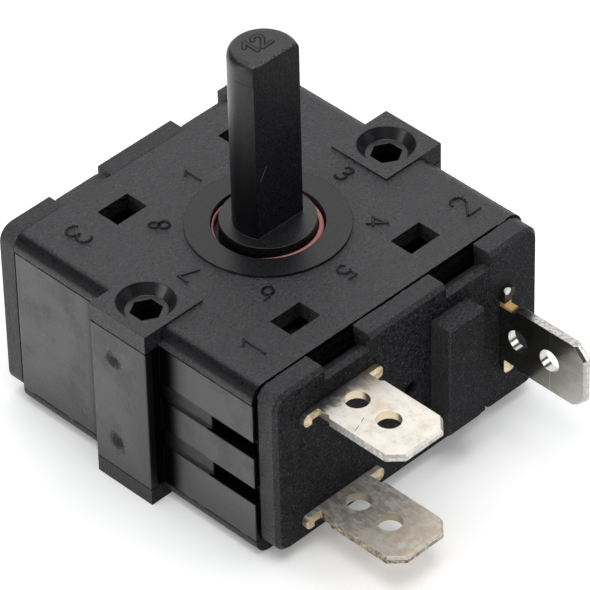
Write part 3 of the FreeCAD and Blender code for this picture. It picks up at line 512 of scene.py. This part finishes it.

# %% [markdown]
# The plastic was let into the mould at the ends of the ears, high and low, and each gate broke
# off with a torn dark scar: a ragged core with a fainter halo. The joints with the cover and the
# base are dark lines. The side grooves, the floors of the side slots and the wall's ends where the
# end blocks sit are darkened as painted shade.

# %% Gate scars, grooves and joints
EAR_END = 17.3
GATES = [(x, y, z) for x in (-EAR_END, EAR_END) for y, z in ((0.75, 13.45), (0.65, 4.6))]
GROOVE_FLOOR = 15.5
GROOVE_END = 13.4
SLOT_INNER = 13.5
SLOT_END = -8.5
SLOTS_TOP = 15.0
BLOCK_SEAT = 13.5
WALL_INNER = 15.3
JOINT_INSET = 0.04
torn = wall_finish.noise(0.45, 4.0, 0.75)
scars = []
for gate in GATES:
    apart = wall_finish.distance(gate)
    halo = (apart + (torn - 0.5) * 3.2).steps(1.15, 0.60) * 0.6
    core = (apart + (torn - 0.5) * 2.4).steps(0.80, 0.60)
    scars.append(halo.high(core * torn.steps(0.38, 0.44)))
wall_finish.overlay(highest(*scars), Base_Color=PIT, Specular_IOR_Level=0.10)
# The grooves are darkened: painted shade.
groove_shade = ((sideways < GROOVE_FLOOR + 0.12) * (sideways > GROOVE_FLOOR - 0.2)
             * (lengthwise < GROOVE_END))
wall_finish.overlay(groove_shade * 0.8, Base_Color=BLACK, Specular_IOR_Level=0.40)
upward = wall_finish.towards("Z").steps(0.5, 0.9)
# The floors of the side slots are blackened: painted shade.
slot_floor_shade = (upward * (sideways > SLOT_INNER) * (wall_finish.y < SLOT_END)
           * (wall_finish.z < SLOTS_TOP))
wall_finish.overlay(slot_floor_shade * 0.92, Base_Color=PIT, Specular_IOR_Level=0.03)
cover_joint = wall_finish.ragged_line(wall_finish.z - (COVER_FOOT - JOINT_INSET), 0.05, 0.30)
base_joint = wall_finish.ragged_line(wall_finish.z - (BASE_TOP + JOINT_INSET), 0.05, 0.40)
# The wall's ends where the end blocks sit are blackened: painted shade. The two joint lines above are
# real dark joints.
end_seat_shade = (lengthwise > BLOCK_SEAT) * (sideways < WALL_INNER)
blacken(wall_finish, highest(cover_joint, base_joint, end_seat_shade))
wall_finish.dress("middle_body")

# %% [markdown]
# ## The shaft and the cams
# The shaft is the smoothest moulding. It has lengthwise drag lines from being pulled out of its
# mould, a scratch from a knob and a worn edge above its flat. A number stands on its end: the
# relief lifts what lies near a stroke, and a dark line round each stroke is painted shade along
# its sides. A black, duller shader towards the foot and less sheen on the flat are painted shade
# too. The cams and the index wheel are the same plastic.

# %% Shaft finish
SHAFT_TOP = 36.35
END_FIGURES = (
    [(-1.15, 1.0), (-0.6, 1.55), (-0.6, 0.0)],
    [(0.0, 1.2), (0.25, 1.5), (0.65, 1.5), (0.9, 1.2), (0.8, 0.85), (-0.05, 0.0), (1.0, 0.0)],
)
KNOB_SCRATCH = [(-1.45, -1.48, 25.7), (-1.8, -1.48, 25.1), (-2.15, -1.48, 24.5)]
WORN_EDGE = [(-2.2, -1.38, 36.3), (2.2, -1.38, 36.3)]
WORN_GREY = (0.20, 0.19, 0.18, 1)
shaft_finish = Finish("shaft_satin", Specular_IOR_Level=0.52)
drag = shaft_finish.noise(0.5, 3.0, 0.6, (1, 1, 0.08))
cloud = shaft_finish.noise(4.0)
grain = shaft_finish.noise(0.18, 3.0, 0.75)
to_figure = lowest(*[shaft_finish.near_line([(x, y, SHAFT_TOP) for x, y in stroke])
                     for stroke in END_FIGURES])
figures = to_figure.steps(0.22, 0.08)
# A dark line round each stroke: painted shade along its sides.
stroke_side_shade = to_figure.steps(0.04, 0.13) * to_figure.steps(0.30, 0.18)
greyed = grain.steps(0.38, 0.68) * (1 - stroke_side_shade) * 0.6
shaft_finish.drive(Base_Color=shaft_finish.mix(greyed, BLACK, SOFT_BLACK),
                   Roughness=0.31 + (cloud - 0.5) * 0.10 + (drag - 0.5) * 0.06,
                   Normal=shaft_finish.bump(drag * 0.15 + grain * 1.6 + figures * 3.0, 0.018, 0.15))
upward = shaft_finish.towards("Z").steps(0.5, 0.9)
# Darker towards the foot: painted shade.
foot_shade = shaft_finish.z.steps(34.0, 23.0) * (1 - upward)
shaft_finish.overlay(foot_shade * 0.85, Base_Color=BLACK, Specular_IOR_Level=0.18)
# Less sheen on the flat: painted shade.
shaft_finish.overlay(side_face_shade(shaft_finish), Specular_IOR_Level=0.08)
scratch = shaft_finish.near_line(KNOB_SCRATCH).steps(0.05, 0.02)
speckle = shaft_finish.noise(0.16, 3.0, 0.8).steps(0.44, 0.54)
worn_edge = shaft_finish.near_line(WORN_EDGE).steps(0.22, 0.05) * speckle
shaft_finish.overlay((scratch * 0.6).high(worn_edge * 0.55), Base_Color=WORN_GREY, Specular_IOR_Level=0.3)
# The painted shade round the strokes.
shaft_finish.overlay(stroke_side_shade * 0.8, Base_Color=PIT, Specular_IOR_Level=0.10)
shaft_finish.dress("shaft", "upper_cam", "lower_cam", "index_wheel")

# %% [markdown]
# The rim of the shaft's end is a full round, rounder than its solid. A thin rim of the same
# plastic fills it out: a closed section is swept round the shaft. It follows the D, so the
# sweep stops at the flat, and at the bevel above it.

# %% Rim of the shaft's end
SHAFT_FLAT = 1.476
BEVEL_START = 36.15
RIM_STEPS = 72
# Radius and height of the section's corners.
RIM_SECTION = [(2.75, 34.40), (2.999, 34.46), (3.0, 34.48), (3.0, 35.0), (3.0, 35.55), (2.97, 35.80),
               (2.89, 36.00), (2.76, 36.16), (2.60, 36.27), (2.42, 36.335), (2.22, 36.32), (2.28, 36.10)]


def object_from(name, mesh):
    """Turns a finished mesh into an object, with all its faces pointing outwards."""
    bmesh.ops.recalc_face_normals(mesh, faces=mesh.faces)
    data = bpy.data.meshes.new(name)
    mesh.to_mesh(data)
    mesh.free()
    return new_object(name, data)


def shaft_rim():
    """A closed D-shaped rim swept from one side of the flat to the other."""
    mesh = bmesh.new()
    rows = []
    for radius, height in RIM_SECTION:
        flat = SHAFT_FLAT - max(height - BEVEL_START, 0)
        start = -math.asin(flat / radius)
        sweep = math.pi - 2 * start
        angles = [start + sweep * step / RIM_STEPS for step in range(RIM_STEPS + 1)]
        rows.append([mesh.verts.new((radius * math.cos(a) * MM, radius * math.sin(a) * MM, height * MM))
                     for a in angles])
    for row, below in zip(rows, rows[1:] + rows[:1]):
        for step in range(RIM_STEPS):
            mesh.faces.new((row[step], row[step + 1], below[step + 1], below[step])).smooth = True
    mesh.faces.new([row[0] for row in rows])
    mesh.faces.new([row[-1] for row in reversed(rows)])
    return object_from("shaft_rim", mesh)


rim = shaft_rim()
rim.data.materials.append(shaft_finish.material)
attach(rim, "rotor")
print("shaft rim faces", len(rim.data.polygons))

# %% [markdown]
# ## Tinned tabs
# The tabs are punched from brass strip that was tinned first. The broad faces are silvery, and
# the punched faces are sheared metal, with bare brass on the lugs and in most of the holes. The
# direction that a face points in tells the two apart.

# %% What the tabs share
TAB_HOLES = (-18.13, -21.68)
SILVER_EDGE = (0.62, 0.60, 0.56, 1)
DULL_EDGE = (0.34, 0.32, 0.29, 1)
DARK_EDGE = (0.10, 0.09, 0.08, 1)
PALE_BRASS = (0.74, 0.63, 0.44, 1)
DARK_BRASS = (0.38, 0.26, 0.14, 1)
CHALK = (0.95, 0.95, 0.93, 1)


class TabFinish(Finish):
    """The metal of one tab. Its broad faces point along broad_axis, and across is where its
    middle lies. The tin and the edges are two colours each, mixed in blotches."""

    def __init__(self, name, broad_axis, across, tin, edges, hole_wall):
        super().__init__(name, Metallic=1.0)
        self.bright, self.edges, self.hole_wall = tin[0], edges, hole_wall
        self.cloud = self.noise(1.8, 5.0, 0.65)
        self.smear = self.noise(0.7, 4.0, 0.7, (1.0, 0.35, 1.0))
        self.broad = self.towards(broad_axis).abs().steps(0.5, 0.8)
        aside = self.x if broad_axis == "Z" else self.z
        self.to_hole = lowest(*[((aside - across) ** 2 + (self.y - hole) ** 2) ** 0.5
                                for hole in TAB_HOLES])
        blotches = (self.cloud * 0.6 + self.smear * 0.4).steps(0.35, 0.75)
        # A brighter ring round each hole: a painted highlight on its burr.
        hole_rim_highlight = (self.to_hole + (self.smear - 0.5) * 0.12).steps(1.30, 1.18) * 0.8
        self.tin = self.mix(hole_rim_highlight, self.mix(blotches, *tin), self.bright)

    def with_edges(self, tin):
        """The tin's colour on the broad faces and the punched metal's on all the others."""
        shear = self.noise(0.30, 4.0, 0.75)
        edge = self.mix(shear.steps(0.36, 0.60), *self.edges)
        edge = self.mix(shear.steps(0.60, 0.68), edge, self.bright)
        edge = self.mix(shear.steps(0.36, 0.30) * 0.7, edge, DARK_EDGE)
        browned = (self.smear * 0.7 + self.cloud * 0.3).steps(0.42, 0.60)
        brass = self.mix(browned, PALE_BRASS, DARK_BRASS)
        on_lugs = self.y.steps(-16.8, -16.65)
        in_hole = self.to_hole.steps(1.12, 1.09)
        punched = self.mix(in_hole, self.mix(on_lugs, edge, brass), self.hole_wall)
        return self.mix(1 - self.broad, tin, punched)


# %% [markdown]
# The upper tab is the brightest, a creamy tin. Its root is dark where the case shades it. The
# right corner of the root and a patch between the holes are rubbed to gold, and one scratch runs
# to its left side.

# %% Upper tab
CREAM = (0.84, 0.79, 0.72, 1)
WARM_GREY = (0.70, 0.64, 0.56, 1)
ROOT_GREY = (0.13, 0.13, 0.135, 1)
GOLD = (0.66, 0.52, 0.30, 1)
BROWN = (0.50, 0.38, 0.28, 1)
FLAT_TABS_X = -8.1
TAB_SCRATCH = [(-9.3, -20.05, 14.83), (-9.9, -20.3, 14.83), (-10.95, -20.65, 14.83)]
upper = TabFinish("tin_bright", "Z", FLAT_TABS_X, (CREAM, WARM_GREY), (DULL_EDGE, SILVER_EDGE),
                  PALE_BRASS)
root = (upper.y + (upper.cloud - 0.5) * 3.5 + (upper.smear - 0.5) * 2.5).steps(-17.8, -16.6)
left_side = upper.x.steps(-6.5, -9.5)
tin = upper.mix(root * (0.65 + left_side * 0.30), upper.tin, ROOT_GREY)
rubbed_root = upper.y.steps(-18.2, -16.9) * upper.x.steps(-7.6, -5.6)
rubbed_patch = (upper.distance((-7.3, -19.8, 14.8)) + (upper.cloud - 0.5) * 2.0).steps(1.3, 0.3) * 0.6
tin = upper.mix(rubbed_root.high(rubbed_patch) * upper.cloud.steps(0.35, 0.60) * 0.7, tin, GOLD)
tarnish = upper.noise(0.9, 5.0, 0.75)
tin = upper.mix(tarnish.steps(0.50, 0.66) * 0.30, tin, BROWN)
scratch = upper.near_line(TAB_SCRATCH).steps(0.05, 0.01)
tin = upper.mix(scratch * upper.smear.steps(0.35, 0.5), tin, DARK_EDGE)
upper.drive(Base_Color=upper.with_edges(tin), Roughness=0.28 + upper.smear * 0.24,
            Normal=upper.bump(upper.smear, 0.010, 0.06))
upper.dress("upper_terminal")

# %% [markdown]
# The lower tab has lain in damp air. It is grey with darker streaks and a few black specks, and
# towards its end come a coppery stain and white specks.

# %% Lower tab
ASH = (0.95, 0.90, 0.82, 1)
OLIVE_GREY = (0.74, 0.68, 0.60, 1)
BROWN_EDGE = (0.12, 0.10, 0.08, 1)
SAND_EDGE = (0.48, 0.42, 0.32, 1)
DULL_BRASS = (0.44, 0.39, 0.30, 1)
STREAK_GREY = (0.24, 0.23, 0.215, 1)
COPPER = (0.80, 0.64, 0.50, 1)
SOOT = (0.03, 0.03, 0.03, 1)
lower = TabFinish("tin_tarnished", "Z", FLAT_TABS_X, (ASH, OLIVE_GREY), (BROWN_EDGE, SAND_EDGE),
                  DULL_BRASS)
stain = lower.noise(0.9, 5.0, 0.75)
speck = lower.noise(0.22, 3.0, 0.8)
streak = lower.noise(0.45, 4.0, 0.75, (1.0, 0.30, 1.0))
to_tip = lower.y.steps(-19.5, -24.5)
streaked = (streak * 0.6 + stain * 0.4).steps(0.42, 0.60) * (1 - to_tip) * 0.55
tin = lower.mix(streaked, lower.tin, STREAK_GREY)
tin = lower.mix(to_tip * stain.steps(0.40, 0.60) * 0.75, tin, COPPER)
white_specks = speck.steps(0.60, 0.64) * lower.y.steps(-23.0, -24.6)
white_corner = (lower.distance((-9.5, -24.3, 3.7)) + (speck - 0.5) * 1.6).steps(0.42, 0.20)
tin = lower.mix(white_specks.high(white_corner), tin, CHALK)
tin = lower.mix(speck.steps(0.35, 0.31) * lower.y.steps(-22.5, -20.0) * 0.8, tin, SOOT)
lower.drive(Base_Color=lower.with_edges(tin), Roughness=0.44 + stain * 0.24,
            Normal=lower.bump(stain * 0.5 + speck * 0.5, 0.03, 0.06))
lower.dress("lower_terminal")

# %% [markdown]
# The upright tab is smoother and darker than the flat ones. A scribed line runs down the side
# that faces them. Its upper lug is painted in shadow, except for a painted highlight dot at its
# end and a bare brass edge below.

# %% Upright tab
STEEL_GREY = (0.50, 0.49, 0.44, 1)
DARK_GREY = (0.35, 0.345, 0.30, 1)
OLD_GOLD = (0.50, 0.38, 0.20, 1)
SHADOW = (0.02, 0.018, 0.015, 1)
LUG_HIGHLIGHT = (0.93, 0.93, 0.92, 1)
BARE_BRASS = (0.66, 0.44, 0.17, 1)
UPRIGHT_TAB_Z = 9.1
SCRIBED_LINE = [(10.85, -21.75, 12.2), (10.85, -21.75, 6.0)]
upright = TabFinish("tin_upright", "X", UPRIGHT_TAB_Z, (STEEL_GREY, DARK_GREY), (DULL_EDGE, SILVER_EDGE),
                    SILVER_EDGE)
rubbed_root = upright.y.steps(-17.4, -16.6) * upright.z.steps(10.8, 11.8)
tin = upright.mix(rubbed_root * 0.7, upright.tin, OLD_GOLD)
tin = upright.mix(upright.near_line(SCRIBED_LINE).steps(0.06, 0.02) * 0.5, tin, CHALK)
upright.drive(Base_Color=upright.with_edges(tin), Roughness=0.10 + upright.smear * 0.14,
              Normal=upright.bump(upright.smear, 0.010, 0.06))
lug_end = upright.distance((11.25, -16.6, 13.45))
shaded = (upright.y > -16.75) * (upright.z > 12.25) * lug_end.steps(0.30, 0.36)
# The upper lug is painted in shadow.
upright.overlay(shaded * 0.96, Base_Color=SHADOW, Specular_IOR_Level=0.05)
# A painted highlight dot at the lug's end.
upright.overlay(lug_end.steps(0.36, 0.30), Base_Color=LUG_HIGHLIGHT)
bared = upright.y.steps(-17.6, -17.2) * (upright.z > 11.8) * (upright.z < 12.3)
upright.overlay(bared * 0.9, Base_Color=BARE_BRASS)
upright.dress("common_terminal")

# %% [markdown]
# ## Small metal parts inside
# Only glimpses of these show through the windows: silver contacts, a bronze spring strip, brass
# rivets and the steel detent leaf. One recipe with four colours is enough.

# %% Inner metals
def inner_metal(name, colour, roughness, *names):
    """A plain metal with faint darker clouds."""
    finish = Finish(name, Metallic=1.0)
    cloud = finish.noise(0.6, 4.0)
    darker = tuple(0.7 * c for c in colour) + (1,)
    finish.drive(Base_Color=finish.mix(cloud, darker, colour + (1,)), Roughness=roughness + cloud * 0.2,
                 Normal=finish.bump(cloud, 0.006, 0.05))
    finish.dress(*names)


inner_metal("contact_silver", (0.88, 0.87, 0.84), 0.22,
            "upper_fixed_contact", "lower_fixed_contact", "upper_moving_contact", "lower_moving_contact")
inner_metal("spring_bronze", (0.72, 0.50, 0.30), 0.25, "upper_contact_spring", "lower_contact_spring")
inner_metal("rivet_brass", (0.76, 0.60, 0.32), 0.30, "spring_rivets")
inner_metal("spring_steel", (0.55, 0.55, 0.56), 0.28, "detent_spring")

# %% [markdown]
# ## The red ring
# A soft ring closes the gap round the shaft. The real one sits off centre and a little higher
# on one side, so it is swept here as a closed band and not copied from the solid. Its rubber is a
# dull brick red in light and dark clouds, with a shallow relief, since soft rubber has no grain
# that shows at this size.

# %% Ring finish
DARK_RED = (0.30, 0.10, 0.09, 1)
DUSTY_RED = (0.47, 0.20, 0.18, 1)
seal_finish = Finish("seal_rubber", Specular_IOR_Level=0.45)
cloud = seal_finish.noise(0.9, 4.0)
seal_finish.drive(Base_Color=seal_finish.mix(cloud, DARK_RED, DUSTY_RED),
                  Roughness=0.45 + cloud * 0.15, Normal=seal_finish.bump(cloud, 0.01))

# %% [markdown]
# The band's section changes with the angle round the shaft: cosines give its width, its middle
# and its height, and a slow waver makes it look pressed in by hand. Its foot and its outer side
# stay a hair inside the solid's.

# %% Ring mesh
RING_STEPS = 160
TOP_STEPS = 6
ROUNDING = 0.12 * MM
WAVER = 0.015 * MM
RING_INSET = 0.01 * MM
LEANS_TOWARDS = math.radians(-40)
CLIMBS_TOWARDS = math.radians(250)
ring_low, ring_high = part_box("seal_ring")


def seal_section(angle):
    """Radius and height of the band's corners at one angle, with a rounded top. On the right it
    is wide and leans on the collar; towards the tabs it climbs out of its recess."""
    foot = ring_low[2] + RING_INSET
    reach = ring_high[0] - RING_INSET
    rightward = math.cos(angle - LEANS_TOWARDS)
    tabward = max(math.cos(angle - CLIMBS_TOWARDS), 0) ** 2
    waver = WAVER * (math.sin(3 * angle + 0.8) + 0.5 * math.sin(7 * angle))
    half = (0.15 + 0.06 * rightward) * MM
    centre = reach - (0.28 + 0.12 * rightward) * MM + waver
    top = ring_high[2] - (0.06 - 0.04 * rightward - 0.16 * tabward) * MM + waver
    outer = min(centre + half, reach)
    section = [(outer, foot), (outer, top - ROUNDING)]
    for part in range(TOP_STEPS + 1):
        turn = math.pi * part / TOP_STEPS
        section.append((min(centre + half * math.cos(turn), reach),
                        top - (ROUNDING - ROUNDING * math.sin(turn))))
    section.append((centre - half, foot))
    return section


def seal_band():
    """The band's sections joined into a closed ring."""
    mesh = bmesh.new()
    rounds = []
    for step in range(RING_STEPS):
        angle = 2 * math.pi * step / RING_STEPS
        rounds.append([mesh.verts.new((r * math.cos(angle), r * math.sin(angle), z))
                       for r, z in seal_section(angle)])
    for here, after in zip(rounds, rounds[1:] + rounds[:1]):
        for index in range(len(here)):
            then = (index + 1) % len(here)
            mesh.faces.new((here[index], after[index], after[then], here[then])).smooth = True
    return object_from("seal_lip", mesh)


seal = seal_band()
seal.data.materials.append(seal_finish.material)
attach(seal, "case")
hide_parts("seal_ring")
print(seal_finish.material.name, "on", seal.name, "faces", len(seal.data.polygons))

# %% [markdown]
# ## Raised numbers
# Plain numbers are moulded on the cover: 1 to 8 round the ring, one for each switch position,
# and a larger one at three corners. Each digit is a few strokes, and each stroke is a low ridge
# with sloping sides, so that light catches its edges as it does on moulded figures.

# %% Strokes of the digits
def bend(middle, reach, start, end, steps=8):
    """Points on an oval arc from one angle to another, in degrees."""
    angles = [math.radians(start + (end - start) * step / steps) for step in range(steps + 1)]
    return [(middle[0] + reach[0] * math.cos(a), middle[1] + reach[1] * math.sin(a)) for a in angles]


# Strokes of each digit, in a box that is one unit high and 0.6 wide.
DIGITS = {
    1: [[(0.12, 0.78), (0.36, 1.0), (0.36, 0.0)]],
    2: [bend((0.30, 0.72), (0.27, 0.28), 170, -35) + [(0.03, 0.0), (0.60, 0.0)]],
    3: [bend((0.28, 0.75), (0.26, 0.25), 150, -90) + bend((0.28, 0.25), (0.29, 0.25), 90, -150)],
    4: [[(0.45, 0.0), (0.45, 1.0), (0.0, 0.30), (0.62, 0.30)]],
    5: [[(0.55, 1.0), (0.12, 1.0), (0.08, 0.56)] + bend((0.27, 0.32), (0.30, 0.32), 125, -140)],
    6: [[(0.48, 1.0), (0.10, 0.50)] + bend((0.30, 0.30), (0.27, 0.30), 150, -200, 14)],
    7: [[(0.02, 1.0), (0.58, 1.0), (0.22, 0.0)]],
    8: [bend((0.30, 0.75), (0.22, 0.25), -90, 270, 12), bend((0.30, 0.26), (0.28, 0.26), 90, 450, 14)],
}
DIGIT_MIDDLE = (0.3, 0.5)


def placed_strokes(digit, middle, high, turn):
    """The digit's strokes in millimetres, with its box centred on middle and turned in degrees."""
    cos, sin = math.cos(math.radians(turn)), math.sin(math.radians(turn))
    for stroke in DIGITS[digit]:
        flat = [((x - DIGIT_MIDDLE[0]) * high, (y - DIGIT_MIDDLE[1]) * high) for x, y in stroke]
        yield [(middle[0] + x * cos - y * sin, middle[1] + x * sin + y * cos) for x, y in flat]


print("digits", *DIGITS)

# %% [markdown]
# A ridge is a box with a narrower top. Its foot sinks a little into the cover, so that no gap
# shows under it.

# %% A ridge
FOOT_HALF = 0.13
CREST_HALF = 0.065
RIDGE_FOOT = -0.02
RIDGE_HIGH = 0.12
RIDGE_FACES = ((3, 2, 1, 0), (4, 5, 6, 7), (0, 1, 5, 4), (1, 2, 6, 5), (2, 3, 7, 6), (3, 0, 4, 7))


def add_ridge(mesh, start, end, level):
    """A low straight ridge from start to end, standing on the given level."""
    along = (Vector(end) - Vector(start)).normalized()
    aside = Vector((-along.y, along.x))
    corners = []
    for half, height in ((FOOT_HALF, RIDGE_FOOT), (CREST_HALF, RIDGE_HIGH)):
        for point, way in ((Vector(start), -1), (Vector(end), 1)):
            for side in (way, -way):
                spot = point + along * way * half + aside * side * half
                corners.append(mesh.verts.new((spot.x * MM, spot.y * MM, (level + height) * MM)))
    for face in RIDGE_FACES:
        mesh.faces.new([corners[index] for index in face])


# %% [markdown]
# All the numbers go into one mesh, because they were cut into the mould of one cover. They have
# the cover's grain with less sheen, and their colour is mixed halfway to black as painted shade,
# so that they read as dark strokes.

# %% The numbers on the cover
DIAL_NUMBERS = 8
NUMBER_RING = 9.0
NUMBER_HIGH = 1.7
CORNER_HIGH = 2.4
# Digit, middle and turn of each number at a corner.
CORNER_NUMBERS = ((1, (-11.9, -10.2), 0), (2, (12.7, -10.1), 0), (3, (-11.8, 10.3), 180))


def number_piece(name, numbers, level):
    """One mesh with every number, given as digit, middle, height and turn."""
    mesh = bmesh.new()
    for digit, middle, high, turn in numbers:
        for stroke in placed_strokes(digit, middle, high, turn):
            for start, end in zip(stroke, stroke[1:]):
                add_ridge(mesh, start, end, level)
    return object_from(name, mesh)


numbers = []
for position in range(DIAL_NUMBERS):
    heading = 90 - 360 / DIAL_NUMBERS * position
    spot = (NUMBER_RING * math.cos(math.radians(heading)), NUMBER_RING * math.sin(math.radians(heading)))
    numbers.append((position + 1, spot, NUMBER_HIGH, heading - 90))
numbers += [(digit, middle, CORNER_HIGH, turn) for digit, middle, turn in CORNER_NUMBERS]
dial_numbers = number_piece("dial_numbers", numbers, COVER_TOP)
number_finish, colour, rough, relief = grained_nylon("number_nylon", 0.35, 0.45, 0.2)
# Mixed halfway to black: painted shade.
number_finish.drive(Base_Color=number_finish.mix(0.5, colour, BLACK), Roughness=rough,
                    Normal=number_finish.bump(relief, 0.05))
dial_numbers.data.materials.append(number_finish.material)
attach(dial_numbers, "case")
print("raised numbers:", len(numbers), "faces:", len(dial_numbers.data.polygons))
